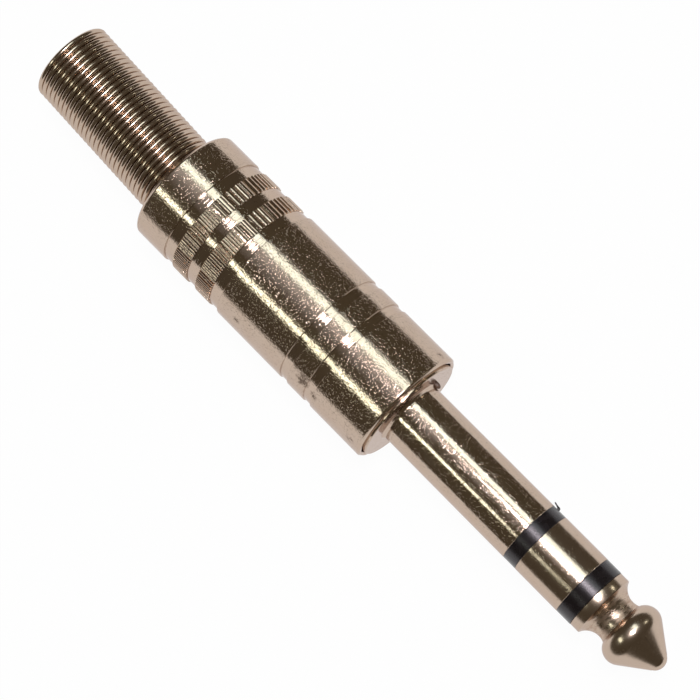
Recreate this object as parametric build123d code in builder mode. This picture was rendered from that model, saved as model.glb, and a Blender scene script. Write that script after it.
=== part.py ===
from build123d import *
import math
import os

# A 6.35 mm stereo jack plug: three-pole finger, screw-on knurled barrel and a coil spring that guards the cable.
# Millimetres. The plug lies along X with its tip towards +X and its flange's front face at X = 0, on the axis.
# Radii build up from the standard finger: inwards wall by wall to the rod, outwards piece by piece to the barrel.

# Finger, from the flange's front face forwards
finger_diameter = 6.35
sleeve_length = 15.15
ring_collar_length = 1.45
ring_length = 5.15
tip_collar_length = 1.65
root_chamfer = 0.25

# Tip, from its collar forwards
tip_shoulder_length = 1.0
tip_shoulder_step = 0.05
neck_depth = 1.075
neck_sweep_radius = 1.6
neck_to_ball = 1.957
ball_step = 0.075
ball_edge_radius = 1.45
cone_angle = 37
nose_height = 0.525
nose_land = 0.06

# Walls inside the finger, from the sleeve inwards to the rod, and the gap at each fit
sleeve_wall = 0.725
tail_tube_wall = 0.54
tail_wall = 0.47
rod_tube_wall = 0.42
fit_gap = 0.03
ring_wall = 0.975
tip_spigot_length = 1.8
ring_spigot_length = 3.0

# Flange, thread and the rivet collar behind it
flange_step = 0.52
flange_thickness = 1.6
pip_diameter = 0.6
pip_depth = 0.5
pip_out = 0.613
pip_angle = 112.5
relief_depth = 0.43
relief_width = 0.7
thread_length = 5.2
thread_chamfer = 0.35
rivet_wall = 0.55
rivet_lip = 0.2
rivet_lip_length = 0.4

# Solder lugs and the washers between them
ground_lug_clearance = 0.45
ground_lug_thickness = 0.5
ground_strip_width = 3.2
body_insulator_overhang = 0.15
body_insulator_thickness = 0.9
body_spigot_length = 2.0
lug_thickness = 0.4
ring_lug_land = 1.0
lug_insulator_rim = 0.77
lug_insulator_thickness = 1.2
tip_lug_land = 0.9
tail_flare = 0.35
tail_flare_length = 0.3
tab_width = 2.2
tab_bend_radius = 0.5
bend_clearance = 0.05
tab_hole_diameter = 1.1
tab_hole_inset = 1.4
ring_tab_length = 5.6
ring_tab_angle = 55
tip_tab_length = 5.2
tip_tab_angle = -35
rivet_head_overhang = 0.6
rivet_head_height = 0.5

# Cable clamp at the end of the ground strip
clamp_gap = 4.2
clamp_length = 5.0
clamp_width = 4.7
clamp_wing_height = 4.3
clamp_corner_radius = 1.15

# Lining tube inside the barrel
strip_clearance = 0.092
lining_wall = 0.27
lining_clearance = 0.08
lining_front_gap = 0.2
lining_back_gap = 2.2

# Barrel
barrel_length = 29.5
barrel_setback = 0.3
rim_wall = 0.5
mouth_clearance = 0.1
seat_gap = 0.05
thread_clearance = 0.07
thread_bore_step = 0.2
thread_bore_overrun = 0.85
back_lip_thickness = 1.2
back_hole_clearance = 0.15
front_edge_break = 0.2
mouth_chamfer = 0.12
back_edge_break = 0.3
groove_depth = 0.13
groove_width = 0.95
first_groove_at = 6.3
groove_spacing = 3.0
back_band_length = 3.85
back_band_step = 0.05
grip_gap = 1.15
grip_gap_depth = 0.2
knurl_width = 1.85
knurl_step = 0.065
knurl_depth = 0.12
knurl_teeth = 65

# Strain spring
spring_inset = 0.6
wire_diameter = 0.56
wire_gap = 0.03
spring_reach = 16.6
spring_lean = 2.4
spring_end_gap = 0.3
flare_clearance = 0.15
wide_turns = 1
narrowing_turns = 1
sides_per_turn = 14

# Radii from the finger inwards
finger_radius = finger_diameter / 2
finger_bore_radius = finger_radius - sleeve_wall
bore_filler_radius = finger_bore_radius - fit_gap
tail_hole_radius = bore_filler_radius - tail_tube_wall
tail_radius = tail_hole_radius - fit_gap
tail_bore_radius = tail_radius - tail_wall
rod_tube_radius = tail_bore_radius - fit_gap
rod_bore_radius = rod_tube_radius - rod_tube_wall
rod_radius = rod_bore_radius - fit_gap
nose_radius = rod_radius + nose_land
tip_spigot_radius = finger_radius - ring_wall

# Radii of the stack behind the body
rivet_collar_radius = finger_bore_radius + rivet_wall
rivet_lip_radius = rivet_collar_radius + rivet_lip
body_insulator_radius = rivet_lip_radius + body_insulator_overhang
ring_lug_radius = tail_radius + tail_flare + ring_lug_land
flare_recess_radius = tail_radius + tail_flare + fit_gap
lug_insulator_radius = flare_recess_radius + lug_insulator_rim
rivet_head_radius = rod_radius + rivet_head_overhang
tip_lug_radius = rivet_head_radius + tip_lug_land
strip_drop = rivet_lip_radius + tab_bend_radius + bend_clearance

# Radii from the ground strip outwards to the barrel
lining_bore_radius = math.hypot(strip_drop + ground_lug_thickness / 2, ground_strip_width / 2) + strip_clearance
lining_radius = lining_bore_radius + lining_wall
chamber_radius = lining_radius + lining_clearance
ground_lug_radius = chamber_radius - ground_lug_clearance
thread_bore_radius = chamber_radius + thread_bore_step
thread_radius = thread_bore_radius - thread_clearance
relief_radius = thread_radius - relief_depth
flange_radius = thread_radius + flange_step
mouth_radius = flange_radius + mouth_clearance
barrel_radius = mouth_radius + rim_wall
groove_radius = barrel_radius - groove_depth
gap_radius = barrel_radius - grip_gap_depth
band_radius = barrel_radius - back_band_step
knurl_radius = barrel_radius - knurl_step
spring_radius = chamber_radius - spring_inset
back_hole_radius = spring_radius + back_hole_clearance

# Places along the axis
ring_back = sleeve_length + ring_collar_length
ring_front = ring_back + ring_length
tip_back = ring_front + tip_collar_length
neck_corner = tip_back + tip_shoulder_length
thread_front = -flange_thickness - relief_width
thread_back = thread_front - thread_length
rivet_lip_front = thread_back - ground_lug_thickness
body_back = rivet_lip_front - rivet_lip_length
ring_lug_front = body_back - body_insulator_thickness
ring_lug_back = ring_lug_front - lug_thickness
tail_back = ring_lug_back - tail_flare_length
tip_lug_front = ring_lug_back - lug_insulator_thickness
tip_lug_back = tip_lug_front - lug_thickness
barrel_front = -barrel_setback
barrel_back = barrel_front - barrel_length
lip_front = barrel_back + back_lip_thickness
clamp_back = lip_front + clamp_gap
clamp_front = clamp_back + clamp_length
lining_front = body_back - lining_front_gap
lining_back = lip_front + lining_back_gap

# Selections take edges this near to where they are sought
near = 0.001


def on_circle(centre, radius, degrees):
    """The point of a circle at an angle from its own local X."""
    angle = math.radians(degrees)
    return (centre[0] + radius * math.cos(angle), centre[1] + radius * math.sin(angle))


def circles_meet(centre_a, radius_a, centre_b, radius_b):
    """The point nearer the plug's axis where two circles cross."""
    dx = centre_b[0] - centre_a[0]
    dy = centre_b[1] - centre_a[1]
    apart = math.hypot(dx, dy)
    along = (apart**2 + radius_a**2 - radius_b**2) / (2 * apart)
    across = math.sqrt(radius_a**2 - along**2)
    foot = (centre_a[0] + dx * along / apart, centre_a[1] + dy * along / apart)
    first = (foot[0] + dy * across / apart, foot[1] - dx * across / apart)
    second = (foot[0] - dy * across / apart, foot[1] + dx * across / apart)
    return min(first, second, key=lambda point: point[1])


def dome(base_x, base_radius, top_x):
    """Three points of the arc that rises from a round base to a top on the axis."""
    height = top_x - base_x
    radius = (base_radius**2 + height**2) / (2 * abs(height))
    centre_x = top_x - math.copysign(radius, height)
    half_angle = math.asin(base_radius / radius) / 2
    middle_x = centre_x + math.copysign(radius * math.cos(half_angle), height)
    return (base_x, base_radius), (middle_x, radius * math.sin(half_angle)), (top_x, 0)


def side_plane(degrees):
    """The plane through the axis whose local Y points outwards, at an angle from straight up towards +Y."""
    angle = math.radians(degrees)
    return Plane(origin=(0, 0, 0), x_dir=(1, 0, 0), z_dir=(0, -math.cos(angle), math.sin(angle)))


def finish(part, name):
    """Names a piece and writes its file."""
    part.part.label = name
    export_step(part.part, f"parts/{name}.step")


os.makedirs("parts", exist_ok=True)

# Tip: shoulder, swept neck, ball and cone, bored for the rod
shoulder_radius = finger_radius - tip_shoulder_step
neck_radius = finger_radius - neck_depth
neck_rise = neck_radius + neck_sweep_radius
neck_x = neck_corner + math.sqrt(neck_sweep_radius**2 - (neck_rise - shoulder_radius) ** 2)
ball_x = neck_x + neck_to_ball
ball_radius = finger_radius - ball_step
ball_centre = (ball_x, ball_radius - ball_edge_radius)
crease = circles_meet((neck_x, neck_rise), neck_sweep_radius, ball_centre, ball_edge_radius)
cone_start = on_circle(ball_centre, ball_edge_radius, 90 - cone_angle)
nose_x = cone_start[0] + (cone_start[1] - nose_radius) / math.tan(math.radians(cone_angle))
with BuildPart() as tip_contact:
    with BuildSketch(Plane.XZ):
        with BuildLine():
            Polyline((nose_x, rod_bore_radius), (tip_back, rod_bore_radius), (tip_back, shoulder_radius))
            Line((tip_back, shoulder_radius), (neck_corner, shoulder_radius))
            ThreePointArc((neck_corner, shoulder_radius), (neck_x, neck_radius), crease)
            ThreePointArc(crease, (ball_x, ball_radius), cone_start)
            Polyline(cone_start, (nose_x, nose_radius), (nose_x, rod_bore_radius))
        make_face()
    revolve(axis=Axis.X)
finish(tip_contact, "tip_contact")

# Rod: its front end is peened to the blunt nose of the tip, its back end is riveted over the tip lug
finger_end = nose_x + nose_height
rivet_head_back = tip_lug_back - rivet_head_height
with BuildPart() as centre_rod:
    with BuildSketch(Plane.XZ):
        with BuildLine():
            ThreePointArc(*dome(nose_x, nose_radius, finger_end))
            Polyline(
                (nose_x, nose_radius),
                (nose_x, rod_radius),
                (tip_lug_back, rod_radius),
                (tip_lug_back, rivet_head_radius),
                (rivet_head_back, rivet_head_radius),
                (rivet_head_back, 0),
                (finger_end, 0),
            )
        make_face()
    revolve(axis=Axis.X)
finish(centre_rod, "centre_rod")

# Black collar between tip and ring, with a spigot that centres it in the ring
tip_spigot_back = ring_front - tip_spigot_length
with BuildPart() as tip_insulator:
    with BuildSketch(Plane.XZ):
        with BuildLine():
            Polyline(
                (tip_back, rod_bore_radius),
                (tip_back, finger_radius),
                (ring_front, finger_radius),
                (ring_front, tip_spigot_radius),
                (tip_spigot_back, tip_spigot_radius),
                (tip_spigot_back, rod_bore_radius),
                close=True,
            )
        make_face()
    revolve(axis=Axis.X)
finish(tip_insulator, "tip_insulator")

# Insulating tube round the rod
with BuildPart() as rod_tube:
    with BuildSketch(Plane.YZ.offset(tail_back - fit_gap)):
        Circle(rod_tube_radius)
        Circle(rod_bore_radius, mode=Mode.SUBTRACT)
    extrude(amount=tip_spigot_back - tail_back + fit_gap)
finish(rod_tube, "rod_tube")

# Ring, with the tail that runs back through the sleeve and is flared over its lug
with BuildPart() as ring_contact:
    with BuildSketch(Plane.XZ):
        with BuildLine():
            Polyline(
                (ring_front, tip_spigot_radius + fit_gap),
                (ring_front, finger_radius),
                (ring_back, finger_radius),
                (ring_back, tail_radius),
                (ring_lug_back, tail_radius),
                (ring_lug_back, tail_radius + tail_flare),
                (tail_back, tail_radius + tail_flare),
                (tail_back, tail_bore_radius),
                (tip_spigot_back, tail_bore_radius),
                (tip_spigot_back, tip_spigot_radius + fit_gap),
                close=True,
            )
        make_face()
    revolve(axis=Axis.X)
finish(ring_contact, "ring_contact")

# Black collar between ring and sleeve, with a spigot that centres it in the sleeve
ring_spigot_back = sleeve_length - ring_spigot_length
with BuildPart() as ring_insulator:
    with BuildSketch(Plane.XZ):
        with BuildLine():
            Polyline(
                (ring_back, tail_hole_radius),
                (ring_back, finger_radius),
                (sleeve_length, finger_radius),
                (sleeve_length, bore_filler_radius),
                (ring_spigot_back, bore_filler_radius),
                (ring_spigot_back, tail_hole_radius),
                close=True,
            )
        make_face()
    revolve(axis=Axis.X)
finish(ring_insulator, "ring_insulator")

# Insulating tube between the ring's tail and the sleeve
tail_tube_back = body_back + body_spigot_length
with BuildPart() as tail_tube:
    with BuildSketch(Plane.YZ.offset(tail_tube_back)):
        Circle(bore_filler_radius)
        Circle(tail_hole_radius, mode=Mode.SUBTRACT)
    extrude(amount=ring_spigot_back - tail_tube_back)
finish(tail_tube, "tail_tube")

# Body in one turning: sleeve, flange, thread relief, threaded boss and the collar that rivets the ground lug
pip_turn = math.radians(pip_angle)
pip_place = finger_radius + pip_out
pip_centre = (0, pip_place * math.sin(pip_turn), pip_place * math.cos(pip_turn))
with BuildPart() as plug_body:
    with BuildSketch(Plane.XZ):
        with BuildLine():
            Polyline(
                (sleeve_length, finger_bore_radius),
                (sleeve_length, finger_radius),
                (0, finger_radius),
                (0, flange_radius),
                (-flange_thickness, flange_radius),
                (-flange_thickness, relief_radius),
                (thread_front, relief_radius),
                (thread_front, thread_radius),
                (thread_back, thread_radius),
                (thread_back, rivet_collar_radius),
                (rivet_lip_front, rivet_collar_radius),
                (rivet_lip_front, rivet_lip_radius),
                (body_back, rivet_lip_radius),
                (body_back, finger_bore_radius),
                close=True,
            )
        make_face()
    revolve(axis=Axis.X)
    # The root of the finger is thickened where it meets the flange
    root_edges = plug_body.edges().filter_by(GeomType.CIRCLE).filter_by_position(Axis.X, -near, near)
    chamfer(root_edges.sort_by(lambda edge: edge.radius)[0], length=root_chamfer)
    # Both ends of the thread are chamfered
    thread_edges = plug_body.edges().filter_by(GeomType.CIRCLE).filter_by(
        lambda edge: abs(edge.radius - thread_radius) < near
    )
    chamfer(thread_edges, length=thread_chamfer)
    # A small drilled pip in the flange beside the finger
    with Locations(Plane(origin=pip_centre, z_dir=(1, 0, 0))):
        Hole(pip_diameter / 2, depth=pip_depth)
finish(plug_body, "plug_body")

# Ground lug: ring round the rivet collar, strip below the washers and the clamp for the cable
strip_x = thread_back - ground_lug_thickness / 2
wing_top = clamp_wing_height - strip_drop
with BuildPart() as ground_lug:
    with BuildSketch(Plane.YZ.offset(rivet_lip_front)):
        Circle(ground_lug_radius)
        Circle(rivet_collar_radius + fit_gap, mode=Mode.SUBTRACT)
    extrude(amount=ground_lug_thickness)
    with BuildSketch(side_plane(180)):
        with BuildLine():
            FilletPolyline(
                (strip_x, rivet_collar_radius + fit_gap),
                (strip_x, strip_drop),
                (clamp_front, strip_drop),
                radius=tab_bend_radius,
            )
        trace(line_width=ground_lug_thickness)
    extrude(amount=ground_strip_width / 2, both=True)
    with BuildSketch(Plane.YZ.offset(clamp_back)):
        with BuildLine():
            FilletPolyline(
                (-clamp_width / 2, wing_top),
                (-clamp_width / 2, -strip_drop),
                (clamp_width / 2, -strip_drop),
                (clamp_width / 2, wing_top),
                radius=clamp_corner_radius,
            )
        trace(line_width=ground_lug_thickness)
    extrude(amount=clamp_length)
finish(ground_lug, "ground_lug")

# Shouldered bush between the body and the ring's lug
with BuildPart() as body_insulator:
    with BuildSketch(Plane.XZ):
        with BuildLine():
            Polyline(
                (tail_tube_back, tail_hole_radius),
                (tail_tube_back, bore_filler_radius),
                (body_back, bore_filler_radius),
                (body_back, body_insulator_radius),
                (ring_lug_front, body_insulator_radius),
                (ring_lug_front, tail_hole_radius),
                close=True,
            )
        make_face()
    revolve(axis=Axis.X)
finish(body_insulator, "body_insulator")


def solder_lug(back_x, disc_radius, hole_radius, cleared_radius, tab_angle, tab_length):
    """A stamped disc round a hole, with a drilled tab bent backwards past what lies behind the disc."""
    tab_offset = cleared_radius + tab_bend_radius + bend_clearance
    with BuildPart() as lug:
        with BuildSketch(Plane.YZ.offset(back_x)):
            Circle(disc_radius)
        extrude(amount=lug_thickness)
        with BuildSketch(side_plane(tab_angle)):
            with BuildLine():
                FilletPolyline(
                    (back_x + lug_thickness / 2, hole_radius),
                    (back_x + lug_thickness / 2, tab_offset),
                    (back_x - tab_length, tab_offset),
                    radius=tab_bend_radius,
                )
            trace(line_width=lug_thickness)
        extrude(amount=tab_width / 2, both=True)
        with BuildSketch(Plane.YZ.offset(back_x)):
            Circle(hole_radius)
        extrude(amount=lug_thickness, mode=Mode.SUBTRACT)
        side = side_plane(tab_angle)
        hole_top = (back_x - tab_length + tab_hole_inset, tab_offset + lug_thickness / 2, 0)
        with Locations(Plane(origin=side.from_local_coords(hole_top), z_dir=side.y_dir)):
            Hole(tab_hole_diameter / 2, depth=lug_thickness)
    return lug


# Lug of the ring, on the flared end of its tail
ring_lug = solder_lug(
    ring_lug_back,
    ring_lug_radius,
    tail_hole_radius,
    lug_insulator_radius,
    ring_tab_angle,
    ring_tab_length,
)
finish(ring_lug, "ring_lug")

# Washer between the two lugs, recessed over the tail's flare
with BuildPart() as lug_insulator:
    with BuildSketch(Plane.XZ):
        with BuildLine():
            Polyline(
                (ring_lug_back, flare_recess_radius),
                (ring_lug_back, lug_insulator_radius),
                (tip_lug_front, lug_insulator_radius),
                (tip_lug_front, rod_bore_radius),
                (tail_back - fit_gap, rod_bore_radius),
                (tail_back - fit_gap, flare_recess_radius),
                close=True,
            )
        make_face()
    revolve(axis=Axis.X)
finish(lug_insulator, "lug_insulator")

# Lug of the tip, under the rod's rivet head
tip_lug = solder_lug(
    tip_lug_back,
    tip_lug_radius,
    rod_bore_radius,
    rivet_head_radius,
    tip_tab_angle,
    tip_tab_length,
)
finish(tip_lug, "tip_lug")

# Insulating tube that lines the barrel
with BuildPart() as lining:
    with BuildSketch(Plane.YZ.offset(lining_back)):
        Circle(lining_radius)
        Circle(lining_bore_radius, mode=Mode.SUBTRACT)
    extrude(amount=lining_front - lining_back)
finish(lining, "lining")

# Barrel: stepped bore, two turned grooves and the two knurled bands of the grip
grip_back = barrel_back + back_band_length
second_band = grip_back + grip_gap + knurl_width
first_band = second_band + grip_gap + knurl_width
grip_front = first_band + grip_gap
thread_seat = -flange_thickness - seat_gap
thread_bore_back = thread_back - thread_bore_overrun
half_tooth = 180 / knurl_teeth
with BuildPart() as barrel:
    with BuildSketch(Plane.XZ):
        with BuildLine():
            Polyline(
                (barrel_front, mouth_radius),
                (barrel_front, barrel_radius),
                (grip_front, barrel_radius),
                (grip_front, gap_radius),
                (grip_back, gap_radius),
                (grip_back, band_radius),
                (barrel_back, band_radius),
                (barrel_back, back_hole_radius),
                (lip_front, back_hole_radius),
                (lip_front, chamber_radius),
                (thread_bore_back, chamber_radius),
                (thread_bore_back, thread_bore_radius),
                (thread_seat, thread_bore_radius),
                (thread_seat, mouth_radius),
                close=True,
            )
        make_face()
    revolve(axis=Axis.X)
    # The rim is broken outside and inside, and the back edge outside
    front_edges = barrel.edges().filter_by(GeomType.CIRCLE).group_by(Axis.X)[-1].sort_by(
        lambda edge: edge.radius
    )
    chamfer(front_edges[-1], length=front_edge_break)
    chamfer(front_edges[0], length=mouth_chamfer)
    back_edges = barrel.edges().filter_by(GeomType.CIRCLE).group_by(Axis.X)[0].sort_by(
        lambda edge: edge.radius
    )
    chamfer(back_edges[-1], length=back_edge_break)
    # Two shallow turned grooves
    for groove_at in (first_groove_at, first_groove_at + groove_spacing):
        with BuildSketch(Plane.YZ.offset(barrel_front - groove_at - groove_width)):
            Circle(barrel_radius + groove_depth)
            Circle(groove_radius, mode=Mode.SUBTRACT)
        extrude(amount=groove_width, mode=Mode.SUBTRACT)
    # Straight knurl: teeth as a ring of ridges along the axis
    for band_front in (first_band, second_band):
        with BuildSketch(Plane.YZ.offset(band_front - knurl_width)):
            with BuildLine():
                Polyline(
                    [
                        on_circle((0, 0), knurl_radius - knurl_depth * (index % 2), index * half_tooth)
                        for index in range(2 * knurl_teeth)
                    ],
                    close=True,
                )
            make_face()
            Circle(gap_radius - knurl_depth, mode=Mode.SUBTRACT)
        extrude(amount=knurl_width)
finish(barrel, "barrel")

# Strain spring: one wire, close wound from its free end through the barrel's back hole, leaning a little
# sideways about the middle of the hole. Its last turn widens behind the lip, which keeps it in the barrel.
# To stay light, each turn has straight sides and the wire a square section that stands on its corner.
wire_radius = wire_diameter / 2
wind_radius = spring_radius - wire_radius
flare_radius = chamber_radius - flare_clearance - wire_radius
wire_pitch = wire_diameter + wire_gap
lean = math.radians(spring_lean)
spring_direction = Vector(-math.cos(lean), math.sin(lean), 0)
lean_point = Vector(lip_front - back_lip_thickness / 2, 0, 0)
spring_frame = Plane(origin=lean_point, x_dir=(0, 0, 1), z_dir=spring_direction)
inner_end = -back_lip_thickness / 2 - spring_end_gap - (wide_turns + narrowing_turns) * wire_pitch
free_end = back_lip_thickness / 2 + spring_reach - wire_radius
turns = (free_end - inner_end) / wire_pitch
steps = round(turns * sides_per_turn)


def wire_point(step):
    """A corner of the wire's centre line, counted from the end inside the barrel."""
    turn = step / sides_per_turn
    narrowing = min(max((turn - wide_turns) / narrowing_turns, 0), 1)
    radius = flare_radius + (wind_radius - flare_radius) * narrowing
    angle = 2 * math.pi * turn
    local = (radius * math.cos(angle), radius * math.sin(angle), inner_end + turn * wire_pitch)
    return spring_frame.from_local_coords(local)


with BuildPart() as strain_spring:
    with BuildLine():
        winding = Polyline(*[wire_point(step) for step in range(steps + 1)])
    with BuildSketch(Plane(origin=winding @ 0, x_dir=spring_direction, z_dir=winding % 0)):
        RegularPolygon(wire_radius, side_count=4)
    sweep(path=winding.wire(), transition=Transition.RIGHT)
finish(strain_spring, "strain_spring")
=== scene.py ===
import math

import bmesh
import bpy
from bpy.props import FloatProperty, FloatVectorProperty, IntProperty, PointerProperty
from mathutils import Matrix, Vector


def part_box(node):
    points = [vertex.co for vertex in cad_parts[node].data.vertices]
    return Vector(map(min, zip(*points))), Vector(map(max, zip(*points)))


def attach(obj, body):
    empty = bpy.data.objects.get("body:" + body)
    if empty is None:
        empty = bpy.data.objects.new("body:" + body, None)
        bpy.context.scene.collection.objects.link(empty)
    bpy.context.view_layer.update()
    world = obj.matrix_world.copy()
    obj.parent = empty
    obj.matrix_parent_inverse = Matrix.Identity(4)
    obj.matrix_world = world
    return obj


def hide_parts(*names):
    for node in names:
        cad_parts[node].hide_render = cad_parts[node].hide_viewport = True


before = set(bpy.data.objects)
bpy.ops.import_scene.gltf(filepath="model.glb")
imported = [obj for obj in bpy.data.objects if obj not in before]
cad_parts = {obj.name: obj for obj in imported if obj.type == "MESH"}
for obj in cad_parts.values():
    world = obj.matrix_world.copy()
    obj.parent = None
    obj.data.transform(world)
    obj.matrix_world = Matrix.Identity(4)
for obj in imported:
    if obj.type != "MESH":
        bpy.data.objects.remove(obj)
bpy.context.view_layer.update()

bl_info = {
    "name": "Stereo Jack Plug",
    "version": (1, 0, 0),
    "blender": (4, 5, 0),
    "location": "3D View > Sidebar > Jack Plug",
    "description": "Dresses a 6.35 mm stereo jack plug: turned nickel, threads, knurled grip and coil spring",
    "category": "Object",
}

MM = 0.001


def reach(node):
    """Back end, front end and greatest radius of a node of the frame, in millimetres."""
    low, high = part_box(node)
    return low.x / MM, high.x / MM, high.z / MM


sleeve_start, sleeve_end, flange_radius = reach("plug_body")
ring_end = reach("ring_insulator")[1]
tip_spigot_back = reach("tip_insulator")[0]
finger_radius = reach("tip_insulator")[2]
tip_start, nose_x, shoulder_radius = reach("tip_contact")
rod_back, finger_end, _ = reach("centre_rod")
barrel_back, barrel_front, barrel_radius = reach("barrel")

# The dressed shell stays this far inside the solid barrel
shell_inset = 0.006


class PlugSizes(bpy.types.PropertyGroup):
    """Sizes of the plug that its pieces are made to."""

    barrel_radius: FloatProperty(
        name="Barrel radius", description="Outside radius of the barrel",
        default=(barrel_radius - shell_inset) * MM,
        min=0.005, max=0.008, precision=5, subtype="DISTANCE", unit="LENGTH",
    )
    groove_depth: FloatProperty(
        name="Groove depth", description="Depth of the two turned grooves round the barrel",
        default=0.13 * MM, min=0.0, max=0.0004, precision=5, subtype="DISTANCE", unit="LENGTH",
    )
    knurl_teeth: IntProperty(
        name="Knurl teeth", description="Teeth round each knurled band of the grip",
        default=64, min=24, max=120,
    )
    thread_pitch: FloatProperty(
        name="Thread pitch", description="Rise of the barrel's thread in one turn",
        default=0.75 * MM, min=0.0004, max=0.0015, precision=5, subtype="DISTANCE", unit="LENGTH",
    )
    wire_diameter: FloatProperty(
        name="Wire diameter", description="Thickness of the spring's wire",
        default=0.558 * MM, min=0.0003, max=0.0008, precision=5, subtype="DISTANCE", unit="LENGTH",
    )
    spring_lean: FloatProperty(
        name="Spring lean", description="How far the spring leans sideways out of the barrel",
        default=math.radians(2.4), min=0.0, max=0.1, subtype="ANGLE", unit="ROTATION",
    )


class PlugFinish(bpy.types.PropertyGroup):
    """Colours and gloss of the plug's finishes."""

    nickel: FloatVectorProperty(
        name="Nickel", description="Colour of the plated metal",
        default=(0.53, 0.42, 0.335), min=0.0, max=1.0, size=3, subtype="COLOR",
    )
    tarnish: FloatVectorProperty(
        name="Tarnish", description="Colour of the brown specks on the plating",
        default=(0.12, 0.08, 0.055), min=0.0, max=1.0, size=3, subtype="COLOR",
    )
    worn_brass: FloatVectorProperty(
        name="Worn brass", description="Colour of the metal where the plating has rubbed off",
        default=(0.50, 0.35, 0.26), min=0.0, max=1.0, size=3, subtype="COLOR",
    )
    collar: FloatVectorProperty(
        name="Collar", description="Colour of the moulded insulating collars",
        default=(0.007, 0.005, 0.006), min=0.0, max=1.0, size=3, subtype="COLOR",
    )
    gloss: FloatProperty(
        name="Plating roughness", description="Roughness of the polished plating",
        default=0.11, min=0.02, max=0.6, subtype="FACTOR",
    )


class Field:
    """A node's output that takes part in sums, so that node maths reads as plain expressions."""

    def __init__(self, net, socket):
        self.net = net
        self.socket = socket

    def maths(self, operation, *others):
        return self.net.maths(operation, self, *others)

    def __add__(self, other):
        return self.maths("ADD", other)

    __radd__ = __add__

    def __sub__(self, other):
        return self.maths("SUBTRACT", other)

    def __rsub__(self, other):
        return self.net.maths("SUBTRACT", other, self)

    def __mul__(self, other):
        return self.maths("MULTIPLY", other)

    def __truediv__(self, other):
        return self.maths("DIVIDE", other)

    def clamp(self):
        return self.maths("MINIMUM", 1).maths("MAXIMUM", 0)


class Net:
    """A node tree that nodes are added to by type, settings and the values or links of their sockets."""

    def __init__(self, tree):
        self.tree = tree

    def add(self, kind, settings=None, inputs=None, output=0):
        node = self.tree.nodes.new(kind)
        for key, value in (settings or {}).items():
            if key == "stops":
                ramp = node.color_ramp
                while len(ramp.elements) < len(value):
                    ramp.elements.new(1)
                for element, (position, colour) in zip(ramp.elements, value):
                    element.position = position
                    element.color = (*colour, 1)
            else:
                setattr(node, key, value)
        for key, value in (inputs or {}).items():
            if isinstance(value, Field):
                self.tree.links.new(value.socket, node.inputs[key])
            else:
                node.inputs[key].default_value = value
        return Field(self, node.outputs[output]) if len(node.outputs) else node

    def maths(self, operation, *values):
        return self.add("ShaderNodeMath", {"operation": operation}, dict(enumerate(values)))

    def vector(self, x, y, z):
        return self.add("ShaderNodeCombineXYZ", None, {0: x, 1: y, 2: z})

    def split(self, vector):
        first = self.add("ShaderNodeSeparateXYZ", None, {0: vector})
        outputs = first.socket.node.outputs
        return first, Field(self, outputs[1]), Field(self, outputs[2])


# Node trees that make the thread, the knurl and the coil


def tree_inputs(name, numbers):
    """A Geometry Nodes tree with named number inputs and a material input."""
    tree = bpy.data.node_groups.new(name, "GeometryNodeTree")
    net = Net(tree)
    tree.interface.new_socket("Geometry", in_out="OUTPUT", socket_type="NodeSocketGeometry")
    for label, kind in numbers:
        tree.interface.new_socket(label, in_out="INPUT", socket_type=kind)
    tree.interface.new_socket("Material", in_out="INPUT", socket_type="NodeSocketMaterial")
    entry = tree.nodes.new("NodeGroupInput")
    fields = {socket.name: Field(net, socket) for socket in entry.outputs if socket.name}
    return net, fields


def tree_output(net, geometry, material):
    """Ends a tree in Realize Instances and Set Material."""
    whole = net.add("GeometryNodeRealizeInstances", None, {"Geometry": geometry})
    coated = net.add("GeometryNodeSetMaterial", None, {"Geometry": whole, "Material": material})
    last = net.tree.nodes.new("NodeGroupOutput")
    net.tree.links.new(coated.socket, last.inputs[0])
    return net.tree


def thread_tree():
    """A wall of thread: a grid rolled about the axis, with one helical ridge on the side that shows."""
    net, sizes = tree_inputs("Helical thread", [
        ("Front", "NodeSocketFloat"), ("Length", "NodeSocketFloat"), ("Root radius", "NodeSocketFloat"),
        ("Ridge height", "NodeSocketFloat"), ("Wall", "NodeSocketFloat"), ("Pitch", "NodeSocketFloat"),
        ("Ridge base", "NodeSocketFloat"), ("Ridge crest", "NodeSocketFloat"), ("Offset", "NodeSocketFloat"),
    ])
    rows, columns = 240, 97
    grid = net.add("GeometryNodeMeshGrid", None, {
        "Size X": 1.0, "Size Y": 1.0, "Vertices X": rows, "Vertices Y": columns,
    }, "Mesh")
    across, around, _ = net.split(net.add("GeometryNodeInputPosition"))
    lap = (across + 0.5) * 2
    turn = around + 0.5
    shown = lap.maths("LESS_THAN", 1.0001)
    down = 1 - (lap - 1).maths("ABSOLUTE")
    x = sizes["Front"] - down * sizes["Length"]
    phase = (x / sizes["Pitch"] + turn + sizes["Offset"]).maths("FRACT")
    side = (phase - 0.5).maths("ABSOLUTE") * sizes["Pitch"] * 2
    slope = ((sizes["Ridge base"] - side) / (sizes["Ridge base"] - sizes["Ridge crest"])).clamp()
    end = down.maths("MINIMUM", 1 - down) * sizes["Length"] / sizes["Pitch"] * 2
    ridge = slope * end.clamp() * shown
    radius = sizes["Root radius"] + sizes["Ridge height"] * ridge - sizes["Wall"] * (1 - shown)
    angle = turn * math.tau
    rolled = net.vector(x, radius * angle.maths("SINE"), radius * angle.maths("COSINE"))
    wall = net.add("GeometryNodeSetPosition", None, {"Geometry": grid, "Position": rolled})
    closed = net.add("GeometryNodeMergeByDistance", None, {"Geometry": wall, "Distance": 1e-7})
    smooth = net.add("GeometryNodeSetShadeSmooth", None, {"Geometry": closed, "Shade Smooth": True})
    return tree_output(net, smooth, sizes["Material"])


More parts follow.
